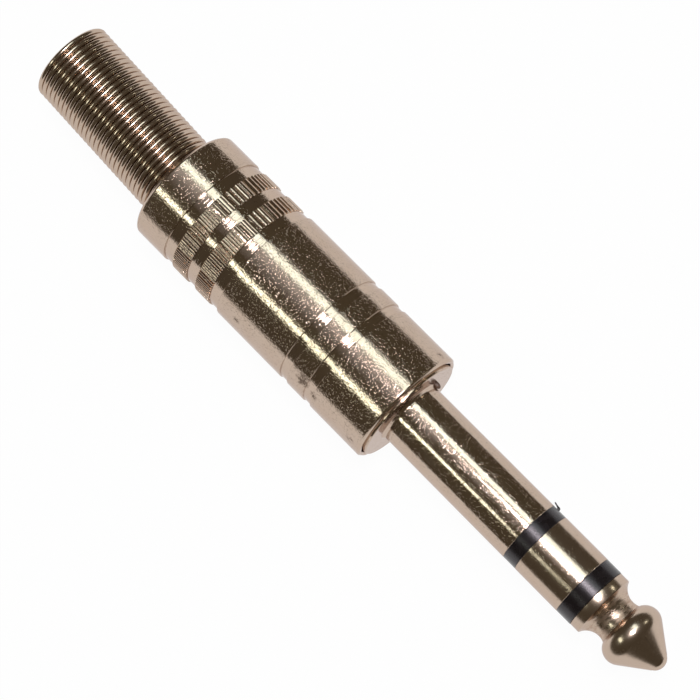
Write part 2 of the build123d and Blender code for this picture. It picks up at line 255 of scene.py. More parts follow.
def knurl_tree():
    """A band of straight knurl: flat-topped teeth round the axis, some of them split by a second track."""
    net, sizes = tree_inputs("Knurled band", [
        ("Teeth", "NodeSocketInt"), ("Front", "NodeSocketFloat"), ("Width", "NodeSocketFloat"),
        ("Radius", "NodeSocketFloat"), ("Depth", "NodeSocketFloat"), ("Bevel", "NodeSocketFloat"),
        ("Round", "NodeSocketFloat"), ("Flank", "NodeSocketFloat"), ("Seed", "NodeSocketInt"),
    ])
    pitch = sizes["Radius"] * math.tau / sizes["Teeth"]

    def tooth(share, shift):
        """One rounded ridge that takes a share of the pitch, its middle shifted by a share of the pitch."""
        block = net.add("GeometryNodeMeshCube", None, {
            "Size": net.vector(1.0, 1.0, 1.0), "Vertices X": 4, "Vertices Y": 8, "Vertices Z": 2,
        }, "Mesh")
        u, v, w = net.split(net.add("GeometryNodeInputPosition"))
        end = u.maths("ABSOLUTE").maths("GREATER_THAN", 0.4)
        flank = v.maths("ABSOLUTE").maths("GREATER_THAN", 0.4)
        top = w.maths("GREATER_THAN", 0.0)
        x = u.maths("SIGN") * (sizes["Width"] / 2 - (1 - end) * sizes["Bevel"])
        half = pitch * share / 2
        across = (v.maths("ABSOLUTE") * 2 / 0.7143).maths("MINIMUM", 1.0)
        y = v.maths("SIGN") * (across * (half - sizes["Flank"]) + flank * sizes["Flank"]) + pitch * shift
        rounding = across * across * sizes["Round"] * share
        drop = (rounding + end * sizes["Bevel"]) * (1 - flank) + flank * sizes["Depth"]
        z = sizes["Radius"] - top * drop - (1 - top) * sizes["Depth"] * 1.4
        return net.add("GeometryNodeSetPosition", None, {"Geometry": block, "Position": net.vector(x, y, z)})

    broad = tooth(0.74, 0.0)
    pair = net.add("GeometryNodeJoinGeometry")
    for ridge in (tooth(0.38, -0.25), tooth(0.36, 0.24)):
        net.tree.links.new(ridge.socket, pair.socket.node.inputs[0])
    kinds = net.add("GeometryNodeGeometryToInstance")
    for kind in (pair, broad):
        net.tree.links.new(kind.socket, kinds.socket.node.inputs[0])
    points = net.add("GeometryNodePoints", None, {
        "Count": sizes["Teeth"],
        "Position": net.vector(sizes["Front"] - sizes["Width"] / 2, 0, 0),
    })
    index = net.add("GeometryNodeInputIndex")
    angle = index / sizes["Teeth"] * math.tau
    wobble = net.add("FunctionNodeRandomValue", {"data_type": "FLOAT"}, {
        2: -0.012, 3: 0.012, "ID": index, "Seed": sizes["Seed"],
    }, 1)
    lift = net.add("FunctionNodeRandomValue", {"data_type": "FLOAT"}, {
        2: 0.9965, 3: 1.0, "ID": index, "Seed": sizes["Seed"] + 7,
    }, 1)
    doubled = angle.maths("SINE").maths("LESS_THAN", 0.08)
    ring = net.add("GeometryNodeInstanceOnPoints", None, {
        "Points": points,
        "Instance": kinds,
        "Pick Instance": True,
        "Instance Index": doubled,
        "Rotation": net.vector(wobble - angle, 0, 0),
        "Scale": net.vector(1, 1, lift),
    })
    return tree_output(net, ring, sizes["Material"])


def coil_tree():
    """A close-wound coil of round wire whose first turns are wide."""
    net, sizes = tree_inputs("Wound coil", [
        ("Start", "NodeSocketFloat"), ("Pitch", "NodeSocketFloat"), ("Turns", "NodeSocketFloat"),
        ("Radius", "NodeSocketFloat"), ("Wide radius", "NodeSocketFloat"), ("Wire radius", "NodeSocketFloat"),
        ("Unevenness", "NodeSocketFloat"), ("Middle", "NodeSocketFloat"), ("Lean", "NodeSocketFloat"),
        ("Last turn", "NodeSocketFloat"),
    ])
    steps = 72
    count = sizes["Turns"] * steps
    line = net.add("GeometryNodeMeshLine", None, {"Count": count, "Offset": (0, 0, MM)})
    turn = net.add("GeometryNodeInputIndex") / steps
    narrowing = (turn - 1).clamp()
    sway = net.add("ShaderNodeTexNoise", {"noise_dimensions": "1D"}, {
        "W": turn * 0.7, "Scale": 1.0, "Detail": 1.0,
    })
    radius = sizes["Wide radius"] + (sizes["Radius"] - sizes["Wide radius"]) * narrowing
    radius = radius - (sway * sizes["Unevenness"]).maths("ABSOLUTE")
    angle = (turn - sizes["Turns"] + sizes["Last turn"]) * math.tau
    wound = net.vector(
        sizes["Start"] - turn * sizes["Pitch"],
        radius * angle.maths("SINE"),
        radius * angle.maths("COSINE"),
    )
    helix = net.add("GeometryNodeSetPosition", None, {"Geometry": line, "Position": wound})
    path = net.add("GeometryNodeMeshToCurve", None, {"Mesh": helix})
    wire = net.add("GeometryNodeCurvePrimitiveCircle", None, {
        "Resolution": 14, "Radius": sizes["Wire radius"],
    })
    swept = net.add("GeometryNodeCurveToMesh", None, {
        "Curve": path, "Profile Curve": wire, "Fill Caps": True,
    })
    turned = net.add("GeometryNodeTransform", None, {
        "Geometry": swept, "Rotation": net.vector(0, 0, 0 - sizes["Lean"]),
    })
    moved = net.add("GeometryNodeTransform", None, {
        "Geometry": turned, "Translation": net.vector(sizes["Middle"], 0, 0),
    })
    smooth = net.add("GeometryNodeSetShadeSmooth", None, {"Geometry": moved, "Shade Smooth": True})
    return tree_output(net, smooth, sizes["Material"])


def grow(name, tree, values):
    """Runs a tree on an empty mesh and returns its result as a plain mesh object."""
    holder = bpy.data.objects.new(name + ".making", bpy.data.meshes.new(name + ".making"))
    bpy.context.scene.collection.objects.link(holder)
    modifier = holder.modifiers.new("Make", "NODES")
    modifier.node_group = tree
    sockets = {s.name: s.identifier for s in tree.interface.items_tree if s.in_out == "INPUT"}
    for label, value in values.items():
        modifier[sockets[label]] = value
    graph = bpy.context.evaluated_depsgraph_get()
    mesh = bpy.data.meshes.new_from_object(holder.evaluated_get(graph))
    if not mesh.polygons:
        raise RuntimeError(f"{name} came out empty")
    mesh.name = name
    bpy.data.objects.remove(holder)
    return piece_of(name, mesh)


# Mesh helpers


def piece_of(name, mesh):
    """Links a mesh to the scene as an object at the origin."""
    thing = bpy.data.objects.new(name, mesh)
    bpy.context.scene.collection.objects.link(thing)
    return thing


def tidy_mesh(mesh, sharp=32):
    """Merges doubles, turns every face outwards, smooths it and keeps the hard edges sharp."""
    work = bmesh.new()
    work.from_mesh(mesh)
    bmesh.ops.remove_doubles(work, verts=work.verts, dist=1e-8)
    bmesh.ops.recalc_face_normals(work, faces=work.faces)
    work.to_mesh(mesh)
    work.free()
    for polygon in mesh.polygons:
        polygon.use_smooth = True
    mesh.set_sharp_from_angle(angle=math.radians(sharp))
    return mesh


def softened(corners, steps=3):
    """Rounds each corner (x, r, rounding) of a closed profile, with a held edge on both sides of it."""
    points = []
    for index, corner in enumerate(corners):
        here = Vector(corner[:2])
        size = corner[2] if len(corner) > 2 else 0
        if not size:
            points.append(tuple(here))
            continue
        back = (Vector(corners[index - 1][:2]) - here).normalized()
        ahead = (Vector(corners[(index + 1) % len(corners)][:2]) - here).normalized()
        first, last = here + back * size, here + ahead * size
        points.append(tuple(here + back * size * 1.4))
        for step in range(steps + 1):
            t = step / steps
            points.append(tuple(first * (1 - t) ** 2 + here * 2 * t * (1 - t) + last * t**2))
        points.append(tuple(here + ahead * size * 1.4))
    return points


def arc_points(centre, radius, start, stop, steps):
    """Points of an arc of the profile, its angles in degrees from the tip's direction."""
    angles = [math.radians(start + (stop - start) * step / steps) for step in range(steps + 1)]
    return [(centre[0] + radius * math.cos(a), centre[1] + radius * math.sin(a)) for a in angles]


def lathe(name, profile, segments=192, closed=True):
    """Turns a profile of (x, r) points in millimetres about the plug's axis."""
    vertices, faces, rows = [], [], []
    for x, r in profile:
        count = segments if r > 1e-6 else 1
        rows.append((len(vertices), count))
        for step in range(count):
            angle = math.tau * step / segments
            vertices.append((x * MM, r * math.sin(angle) * MM, r * math.cos(angle) * MM))
    pairs = list(zip(rows, rows[1:]))
    if closed:
        pairs.append((rows[-1], rows[0]))
    for (first, first_count), (second, second_count) in pairs:
        if first_count == 1 and second_count == 1:
            continue
        for step in range(segments):
            ahead = (step + 1) % segments
            corners = [first + step % first_count, second + step % second_count]
            corners += [second + ahead % second_count, first + ahead % first_count]
            faces.append(tuple(dict.fromkeys(corners)))
    mesh = bpy.data.meshes.new(name)
    mesh.from_pydata(vertices, [], faces)
    return piece_of(name, tidy_mesh(mesh))


def settle(thing, body, material, slot, *nodes):
    """Gives a piece its finish and its body, and hides the nodes it stands for."""
    if not thing.data.materials:
        thing.data.materials.append(material)
    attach(thing, body)
    if nodes:
        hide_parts(*nodes)
    return thing


# Finishes


def new_finish(name):
    """An empty material, its net and the place on the plug: along it, round it and out from its axis."""
    material = bpy.data.materials.new(name)
    material.use_nodes = True
    material.node_tree.nodes.clear()
    net = Net(material.node_tree)
    spot = net.add("ShaderNodeTexCoord", output="Object")
    x, y, z = net.split(spot)
    return material, net, spot, x * 1000, y.maths("ARCTAN2", z), (y * y + z * z).maths("SQRT") * 1000


def noise(net, where, scale, detail=2.0, rough=0.5):
    return net.add("ShaderNodeTexNoise", {"noise_dimensions": "3D"}, {
        "Vector": where, "Scale": scale, "Detail": detail, "Roughness": rough,
    })


def blend_colour(net, amount, first, second):
    """Goes from the first colour to the second as the amount goes from 0 to 1."""
    return net.add("ShaderNodeMix", {"data_type": "RGBA"}, {
        0: amount, 6: first if isinstance(first, Field) else (*first, 1),
        7: second if isinstance(second, Field) else (*second, 1),
    }, 2)


def dress(net, colour, roughness, height, depth, **fixed):
    """Ends a material in one principled surface with a bump of the given depth in metres."""
    bump = net.add("ShaderNodeBump", None, {"Strength": 1.0, "Distance": depth, "Height": height})
    inputs = {"Base Color": colour, "Roughness": roughness, "Normal": bump}
    for label, value in fixed.items():
        inputs[label.replace("_", " ")] = value
    surface = net.add("ShaderNodeBsdfPrincipled", None, inputs)
    net.add("ShaderNodeOutputMaterial", None, {"Surface": surface})


def band(value, low, high, soft):
    """1 between two values and 0 outside them, with soft edges."""
    return ((value - low) / soft).clamp() * ((high - value) / soft).clamp()


def near_spot(along, around, x, degrees, radius, reach_mm):
    """1 at a spot of a turned surface, falling to 0 at a distance in millimetres."""
    dx = along - x
    dy = (around - math.radians(degrees)) * radius
    return (1 - (dx * dx + dy * dy).maths("SQRT") / reach_mm).clamp()


def plated(name, finish, peel=0.3, rings=0.2, pits=0.5, grit=0.1, gloss=1.0, specks=0.5, marks=None):
    """Nickel plate: orange peel, grains that stand out, fine turning rings, stains and brown specks."""
    material, net, spot, along, around, out = new_finish(name)
    fine = noise(net, spot, 5500.0, 1.6, 0.6)
    grain = ((noise(net, spot, 6500.0, 1.0, 0.5) - 0.60) * 8).clamp()
    turning = noise(net, net.vector(along * 16, around * 0.25, out * 16), 1.0, 3.0, 0.6)
    stain_and_pip_shade = noise(net, spot, 620.0, 3.0)
    dots = noise(net, spot, 7200.0, 1.0)
    amount = ((dots - 0.69) * 14).clamp() * specks
    colour = blend_colour(net, ((stain_and_pip_shade - 0.42) * 2.2).clamp() * 0.35, tuple(finish.nickel),
                          tuple(c * k for c, k in zip(finish.nickel, (0.93, 0.86, 0.78))))
    colour = blend_colour(net, amount, colour, tuple(finish.tarnish))
    colour = blend_colour(net, (fine - 0.35) * grit, colour, tuple(finish.tarnish))
    roughness = finish.gloss * gloss + (stain_and_pip_shade - 0.5) * 0.04 + amount * 0.2 + grain * grit
    height = fine * peel + grain * pits + turning * rings
    if marks:
        colour, roughness, height = marks(net, spot, along, around, out, colour, roughness, height)
    dress(net, colour, roughness, height, 0.000010, Metallic=1.0, Specular_Tint=(0.82, 0.77, 0.76, 1))
    return material


def tip_marks(finish):
    """Coppery wear on the neck and a thin scratch down the cone."""
    def marks(net, spot, along, around, out, colour, roughness, height):
        ragged = noise(net, net.vector(along * 2.2, around * 1.1, 0), 1.6, 4.0, 0.7)
        neck = band(along, tip_start + 1.0, tip_start + 3.6, 0.35) * (((2.75 - out) * 2.5).clamp())
        worn = neck * ((ragged - 0.45) * 7).clamp()
        scratch = band(around, 0.23, 0.262, 0.012) * band(along, nose_x - 2.5, nose_x - 0.4, 0.3)
        colour = blend_colour(net, worn * 0.6, colour, tuple(finish.worn_brass))
        colour = blend_colour(net, scratch * 0.55, colour, tuple(finish.tarnish))
        rough = noise(net, spot, 9000.0, 2.0)
        return colour, roughness + worn * 0.22, height + worn * rough * 1.6 - scratch * 0.6
    return marks


def barrel_marks(finish):
    """Brown tarnish by the first groove, rusty specks behind the rim and turning lines in the recesses."""
    def marks(net, spot, along, around, out, colour, roughness, height):
        ragged = noise(net, spot, 2600.0, 3.0, 0.65)
        stains = [
            (barrel_front - 7.7, -53, 0.95, 1.0), (barrel_front - 6.2, -58, 0.6, 0.7),
            (barrel_front - 1.2, -66, 0.55, 0.8), (barrel_front - 0.8, 64, 0.5, 0.7),
            (barrel_front - 12.0, 47, 0.4, 0.5), (barrel_front - 16.1, -61, 0.5, 0.6),
        ]
        total = 0
        for x, degrees, size, strength in stains:
            total = near_spot(along, around, x, degrees, barrel_radius, size) * strength + total
        stained = (((ragged - 0.42) * 5).clamp() * total * 2.2).clamp()
        recess = ((barrel_radius - 0.05 - out) * 30).clamp()
        lines = noise(net, net.vector(along * 9, around * 0.5, 0), 1.0, 2.0, 0.5)
        colour = blend_colour(net, stained * 0.85, colour, tuple(finish.tarnish))
        roughness = roughness + stained * 0.3 - recess * 0.03
        height = height * (1 - recess * 0.72) + lines * recess * 2.6
        return colour, roughness, height
    return marks


def moulded(name, colour, sheen_roughness, second=None):
    """Moulded plastic with a faint grain and dusty patches."""
    material, net, spot, *_ = new_finish(name)
    dust = noise(net, spot, 1500.0, 3.0)
    grain = noise(net, spot, 9000.0, 2.0)
    lighter = second or tuple(min(1.0, c * 1.8 + 0.004) for c in colour)
    shade = blend_colour(net, ((dust - 0.5) * 2.5).clamp(), tuple(colour), lighter)
    dress(net, shade, sheen_roughness + (dust - 0.5) * 0.12, grain, 0.000006, Metallic=0.0,
          Specular_Tint=(1.0, 0.92, 0.96, 1))
    return material


def tinned(name):
    """Dull tinned brass with rolled grain and darker patches."""
    material, net, spot, along, around, out = new_finish(name)
    cloud = noise(net, spot, 700.0, 3.0)
    grain = noise(net, net.vector(along * 2, around * 9, out * 9), 2.0, 3.0)
    shade = blend_colour(net, ((cloud - 0.4) * 2).clamp(), (0.66, 0.61, 0.53), (0.45, 0.38, 0.29))
    dress(net, shade, 0.32 + (cloud - 0.5) * 0.2, grain, 0.000006, Metallic=1.0)
    return material


def floor_finish():
    """White studio floor that keeps a faint shadow."""
    material, net, *_ = new_finish("studio_floor")
    path = net.add("ShaderNodeLightPath", output="Is Camera Ray")
    outputs = path.socket.node.outputs
    glossy, through = Field(net, outputs["Is Glossy Ray"]), Field(net, outputs["Is Transmission Ray"])
    seen = path.maths("MAXIMUM", glossy).maths("MAXIMUM", through)
    matte = net.add("ShaderNodeBsdfDiffuse", None, {"Color": (0.86, 0.86, 0.86, 1)})
    white = net.add("ShaderNodeEmission", None, {"Color": (1, 1, 1, 1), "Strength": 1.0})
    mixed = net.add("ShaderNodeMixShader", None, {0: seen * 0.97, 1: matte, 2: white})
    net.add("ShaderNodeOutputMaterial", None, {"Surface": mixed})
    return material


# The pieces


class JACK_OT_body(bpy.types.Operator):
    """Turns the body: sleeve, flange, relief and threaded boss, with a pip on the flange whose dark brown
    colour is painted shade.
    """

    bl_idname = "jack.body"
    bl_label = "Body and Sleeve"

    def execute(self, context):
        sizes, finish = context.scene.plug_sizes, context.scene.plug_finish
        metal = plated("turned_nickel", finish, peel=0.72, rings=0.08, pits=0.9, grit=0.05, specks=0.35)
        bore, relief, crest, root = 2.45, 4.45, 4.88, 4.42
        root_reach, root_step = 0.27, 0.25
        flange_back, thread_front, thread_back = -1.6, -2.3, sleeve_start + 0.9
        rivet_collar, rivet_lip, lip_front = 3.0, 3.2, sleeve_start + 0.4
        profile = softened([
            (sleeve_end, bore), (sleeve_end, finger_radius, 0.05),
            (root_reach, finger_radius, 0.05), (0.0, finger_radius + root_step, 0.04),
            (0.0, flange_radius, 0.12), (flange_back, flange_radius, 0.10), (flange_back, relief, 0.05),
            (thread_front, relief), (thread_front, root), (thread_back, root),
            (thread_back, rivet_collar), (lip_front, rivet_collar), (lip_front, rivet_lip, 0.05),
            (sleeve_start, rivet_lip, 0.15), (sleeve_start, bore),
        ])
        settle(lathe("body_turning", profile), "plug", metal, "nickel_turned", "plug_body")
        thread = grow("boss_thread", thread_tree(), {
            "Front": thread_front * MM, "Length": (thread_front - thread_back) * MM,
            "Root radius": (root + 0.004) * MM, "Ridge height": (crest - root - 0.004) * MM, "Wall": 0.1 * MM,
            "Pitch": sizes.thread_pitch, "Ridge base": 0.55 * MM, "Ridge crest": 0.1 * MM, "Offset": 0.0,
            "Material": metal,
        })
        settle(thread, "plug", metal, "nickel_turned")
        # The pip's dark brown colour is painted shade, standing in for the dark reflection of the sleeve's
        # root in the flange face
        stain_and_pip_shade = moulded("pip_painted_shade", (0.13, 0.085, 0.062), 0.4)
        length, height, steps = 0.45, 0.27, 10
        pip_x, pip_y, pip_z = 0.12, 3.38, 0.4
        turns = [math.pi * step / steps for step in range(steps)]
        dome = [(length * math.cos(turn), height * math.sin(turn)) for turn in turns]
        pip = lathe("flange_pip", dome + [(-length, 0)], 32, closed=False)
        pip.data.transform(Matrix.Translation((pip_x * MM, pip_y * MM, pip_z * MM)))
        settle(pip, "plug", stain_and_pip_shade, "nickel_turned")
        return {"FINISHED"}


class JACK_OT_contacts(bpy.types.Operator):
    """Turns the ring, the tip head and the rod whose end is the blunt nose."""

    bl_idname = "jack.contacts"
    bl_label = "Ring, Tip and Rod"

    def execute(self, context):
        finish = context.scene.plug_finish
        metal = plated(
            "contact_nickel", finish, peel=0.36, rings=0.08, pits=0.35, grit=0.05, gloss=1.6, specks=0.35,
        )
        tail, tail_bore, tail_flare = 1.85, 1.38, 0.35
        spigot_hole, spigot_length, lug_thickness = 2.23, 1.8, 0.4
        band_front = tip_spigot_back + spigot_length
        lug_back = reach("ring_lug")[1] - lug_thickness
        end = reach("ring_contact")[0]
        ring = lathe("ring_band", softened([
            (band_front, spigot_hole), (band_front, finger_radius, 0.06), (ring_end, finger_radius, 0.06),
            (ring_end, tail), (lug_back, tail),
            (lug_back, tail + tail_flare, 0.05), (end, tail + tail_flare, 0.08),
            (end, tail_bore), (tip_spigot_back, tail_bore), (tip_spigot_back, spigot_hole),
        ]))
        settle(ring, "plug", metal, "nickel_turned", "ring_contact")

        head_metal = plated(
            "tip_nickel", finish, peel=0.3, rings=0.06, pits=0.1, grit=0.02, gloss=2.0, specks=0.35,
            marks=tip_marks(finish),
        )
        neck_centre = (25.893, 3.7)
        ball_centre = (27.85, 1.65)
        ball_radius, neck_sweep, slope = 1.45, 1.6, 37
        apart = Vector(ball_centre) - Vector(neck_centre)
        along = (apart.length**2 + neck_sweep**2 - ball_radius**2) / (2 * apart.length)
        across = math.sqrt(neck_sweep**2 - along**2)
        unit = apart.normalized()
        meets = [
            Vector(neck_centre) + unit * along + Vector((-unit.y, unit.x)) * across * sign for sign in (1, -1)
        ]
        crease = min(meets, key=lambda point: point.y)
        from_neck = math.degrees(math.atan2(crease.y - neck_centre[1], crease.x - neck_centre[0]))
        from_ball = math.degrees(math.atan2(crease.y - ball_centre[1], crease.x - ball_centre[0]))
        shoulder_length, edge, rod_hole = 1.0, 0.06, 0.93
        nose_rim, nose_hole = 0.96, 0.92
        corner_x = tip_start + shoulder_length
        shoulder_angle = math.degrees(math.atan2(shoulder_radius - neck_centre[1], corner_x - neck_centre[0]))
        neck_from = shoulder_angle % 360
        neck_to = from_neck % 360
        profile = [
            (tip_start, rod_hole), (tip_start, shoulder_radius - edge),
            (tip_start + edge, shoulder_radius), (corner_x - edge, shoulder_radius),
        ]
        profile += arc_points(neck_centre, neck_sweep, neck_from + 1.5, neck_to, 20)
        profile += arc_points(ball_centre, ball_radius, from_ball, 90 - slope, 22)[1:]
        cone_x, cone_r = profile[-1]
        profile += [
            (cone_x + (nose_x - cone_x) * t, cone_r + (nose_rim - cone_r) * t) for t in (0.05, 0.5, 0.96)
        ]
        profile += [(nose_x, nose_rim), (nose_x, nose_hole)]
        settle(lathe("tip_head", profile), "plug", head_metal, "nickel_turned", "tip_contact")

        height = finger_end - nose_x
        rim = 0.93
        dome_radius = (rim**2 + height**2) / (2 * height)
        half = math.degrees(math.asin(rim / dome_radius))
        dome = arc_points((finger_end - dome_radius, 0), dome_radius, 0, half, 10)
        rivet_front = rod_back + 0.5
        rod_profile = [(finger_end, 0)] + dome[1:] + [(rivet_front, rim), (rivet_front, 1.5)]
        rod_profile += [(rod_back + 0.12, 1.45), (rod_back, 1.2), (rod_back, 0)]
        rod = lathe("nose_rod", rod_profile, 128, closed=False)
        settle(rod, "plug", metal, "nickel_turned", "centre_rod")
        return {"FINISHED"}


class JACK_OT_collars(bpy.types.Operator):
    """Moulds the two black collars and the torn flash on one of them."""

    bl_idname = "jack.collars"
    bl_label = "Insulating Collars"

    def execute(self, context):
        finish = context.scene.plug_finish
        plastic = moulded("collar_plastic", tuple(finish.collar), 0.27)
        shown = finger_radius - 0.02
        rod_hole, tail_hole, tip_spigot, ring_spigot = 0.93, 1.88, 2.2, 2.42
        tip_back, tip_front, _ = reach("tip_insulator")
        collar_back = tip_front - 1.65
        tip_profile = softened([
            (tip_front, rod_hole), (tip_front, shown, 0.04), (collar_back, shown, 0.04),
            (collar_back, tip_spigot), (tip_back, tip_spigot), (tip_back, rod_hole),
        ])
        settle(lathe("tip_collar", tip_profile), "plug", plastic, "black_collar", "tip_insulator")
        ring_back, ring_top, _ = reach("ring_insulator")
        ring_profile = softened([
            (ring_top, tail_hole), (ring_top, shown, 0.04), (sleeve_end, shown, 0.04),
            (sleeve_end, ring_spigot), (ring_back, ring_spigot), (ring_back, tail_hole),
        ])
        settle(lathe("ring_collar", ring_profile), "plug", plastic, "black_collar", "ring_insulator")

        # A torn sliver of flash hooks back from the ring's collar at one side
        path = [
            (0.55, -0.08, 0.12), (0.46, 0.08, 0.16), (0.34, 0.15, 0.13), (0.20, 0.19, 0.08),
            (0.05, 0.22, 0.075), (-0.10, 0.26, 0.075), (-0.22, 0.29, 0.04),
        ]
        sides = 6
        vertices, faces = [], []
        for x, stand, thick in path:
            for side in range(sides):
                turn = math.tau * side / sides
                out = shown + stand + thick * math.cos(turn) * 0.8
                place = (sleeve_end + x + thick * math.cos(turn) * 0.5, out, thick * math.sin(turn))
                vertices.append(tuple(part * MM for part in place))
        for step in range(len(path) - 1):
            for side in range(sides):
                here, ahead = step * sides + side, step * sides + (side + 1) % sides
                faces.append((here, ahead, ahead + sides, here + sides))
        faces += [tuple(range(sides)), tuple(range(len(vertices) - sides, len(vertices)))]
        mesh = bpy.data.meshes.new("torn_flash")
        mesh.from_pydata(vertices, [], faces)
        settle(piece_of("torn_flash", tidy_mesh(mesh, 60)), "plug", plastic, "black_collar")
        return {"FINISHED"}


class JACK_OT_barrel(bpy.types.Operator):
    """Turns the barrel's shell with its grooves, lips and inner thread."""

    bl_idname = "jack.barrel"
    bl_label = "Barrel Shell"

    def execute(self, context):
        sizes, finish = context.scene.plug_sizes, context.scene.plug_finish
        outer = sizes.barrel_radius / MM
        groove = outer - sizes.groove_depth / MM
        metal = plated(
            "barrel_nickel", finish, peel=1.3, rings=0.03, pits=1.3, grit=0.06, gloss=1.1, specks=0.6,
            marks=barrel_marks(finish),
        )
        front, back = barrel_front, barrel_back
        mouth, bore, chamber, hole, recess, back_band = 5.5, 4.95, 4.75, 4.3, outer - 0.2, outer - 0.05
        lip = back + 1.2
        seat, bore_back = -1.65, -8.35
        front_break, back_break, mouth_break = 0.2, 0.3, 0.12
        groove_starts, groove_width = (6.3, 9.3), 0.95
        grip_front, grip_back = front - 18.5, front - 25.65
        corners = [
            (front, mouth + mouth_break), (front, outer - front_break), (front - front_break, outer, 0.06),
        ]
        for start in groove_starts:
            corners += [
                (front - start, outer, 0.05), (front - start, groove, 0.04),
                (front - start - groove_width, groove, 0.04), (front - start - groove_width, outer, 0.05),
            ]
        corners += [
            (grip_front, outer, 0.07), (grip_front, recess, 0.05),
            (grip_back, recess, 0.05), (grip_back, back_band, 0.06),
            (back + back_break, back_band, 0.1), (back, back_band - back_break, 0.1), (back, hole, 0.2),
            (lip, hole, 0.08), (lip, chamber), (bore_back, chamber), (bore_back, bore),
            (seat, bore), (seat, mouth), (front - mouth_break, mouth, 0.03),
        ]
        shell = lathe("barrel_shell", softened(corners), 256)
        settle(shell, "barrel", metal, "nickel_barrel", "barrel")
        thread = grow("barrel_thread", thread_tree(), {
            "Front": (seat - 0.1) * MM, "Length": (seat - 0.2 - bore_back) * MM,
            "Root radius": (bore - 0.004) * MM, "Ridge height": -0.34 * MM, "Wall": -0.1 * MM,
            "Pitch": sizes.thread_pitch, "Ridge base": 0.5 * MM, "Ridge crest": 0.12 * MM, "Offset": 0.5,
            "Material": metal,
        })
        settle(thread, "barrel", metal, "nickel_barrel")
        return {"FINISHED"}


class JACK_OT_knurl(bpy.types.Operator):
    """Rolls the two knurled bands of the grip."""

    bl_idname = "jack.knurl"
    bl_label = "Knurled Grip"

    def execute(self, context):
        sizes, finish = context.scene.plug_sizes, context.scene.plug_finish
        metal = plated("knurl_nickel", finish, peel=0.75, rings=0.05, pits=0.5, gloss=0.9, specks=0.5)
        tree = knurl_tree()
        band_starts = (19.65, 22.65)
        for number, start in enumerate(band_starts):
            band_of_teeth = grow(f"knurl_band_{number + 1}", tree, {
                "Teeth": sizes.knurl_teeth, "Front": (barrel_front - start) * MM, "Width": 1.85 * MM,
                "Radius": sizes.barrel_radius - 0.03 * MM, "Depth": 0.17 * MM, "Bevel": 0.06 * MM,
                "Round": 0.075 * MM, "Flank": 0.02 * MM,
                "Seed": 11 + number, "Material": metal,
            })
            tidy_mesh(band_of_teeth.data, 30)
            settle(band_of_teeth, "barrel", metal, "nickel_barrel")
        return {"FINISHED"}


class JACK_OT_spring(bpy.types.Operator):
    """Winds the strain spring, wide behind the barrel's lip and leaning a little."""

    bl_idname = "jack.spring"
    bl_label = "Strain Spring"

    def execute(self, context):
        sizes, finish = context.scene.plug_sizes, context.scene.plug_finish
        metal = plated("coil_nickel", finish, peel=0.20, rings=0.0, pits=0.1, gloss=1.6, specks=0.4)
        wire = sizes.wire_diameter / 2
        pitch = sizes.wire_diameter + 0.013 * MM
        half_lip, end_gap, spring_reach = 0.6, 0.3, 16.455
        start = half_lip * MM + end_gap * MM + 2 * pitch
        end = -half_lip * MM - spring_reach * MM + wire
        coil = grow("strain_coil", coil_tree(), {
            "Start": start, "Pitch": pitch, "Turns": (start - end) / pitch,
            "Radius": 3.87 * MM, "Wide radius": 4.32 * MM, "Wire radius": wire, "Unevenness": 0.02 * MM,
            "Middle": (barrel_back + half_lip) * MM, "Lean": sizes.spring_lean, "Last turn": 0.58,
            "Material": metal,
        })
        settle(coil, "spring", metal, "spring_steel", "strain_spring")
        return {"FINISHED"}


class JACK_OT_inside(bpy.types.Operator):
    """Gives the lugs, washers, tubes and the lining inside the barrel their finishes."""

    bl_idname = "jack.inside"
    bl_label = "Inner Pieces"

    def execute(self, context):
        metal = tinned("tinned_lug")
        dark = moulded("inner_plastic", (0.050, 0.045, 0.042), 0.5)
        milky = moulded("lining_plastic", (0.62, 0.60, 0.55), 0.45, (0.70, 0.67, 0.60))
        finishes = {
            metal: ("ground_lug", "ring_lug", "tip_lug"),
            dark: ("rod_tube", "tail_tube", "body_insulator", "lug_insulator"),
            milky: ("lining",),
        }
        for material, nodes in finishes.items():
            for node in nodes:
                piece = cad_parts[node]
                piece.data.materials.clear()
                piece.data.materials.append(material)
        return {"FINISHED"}


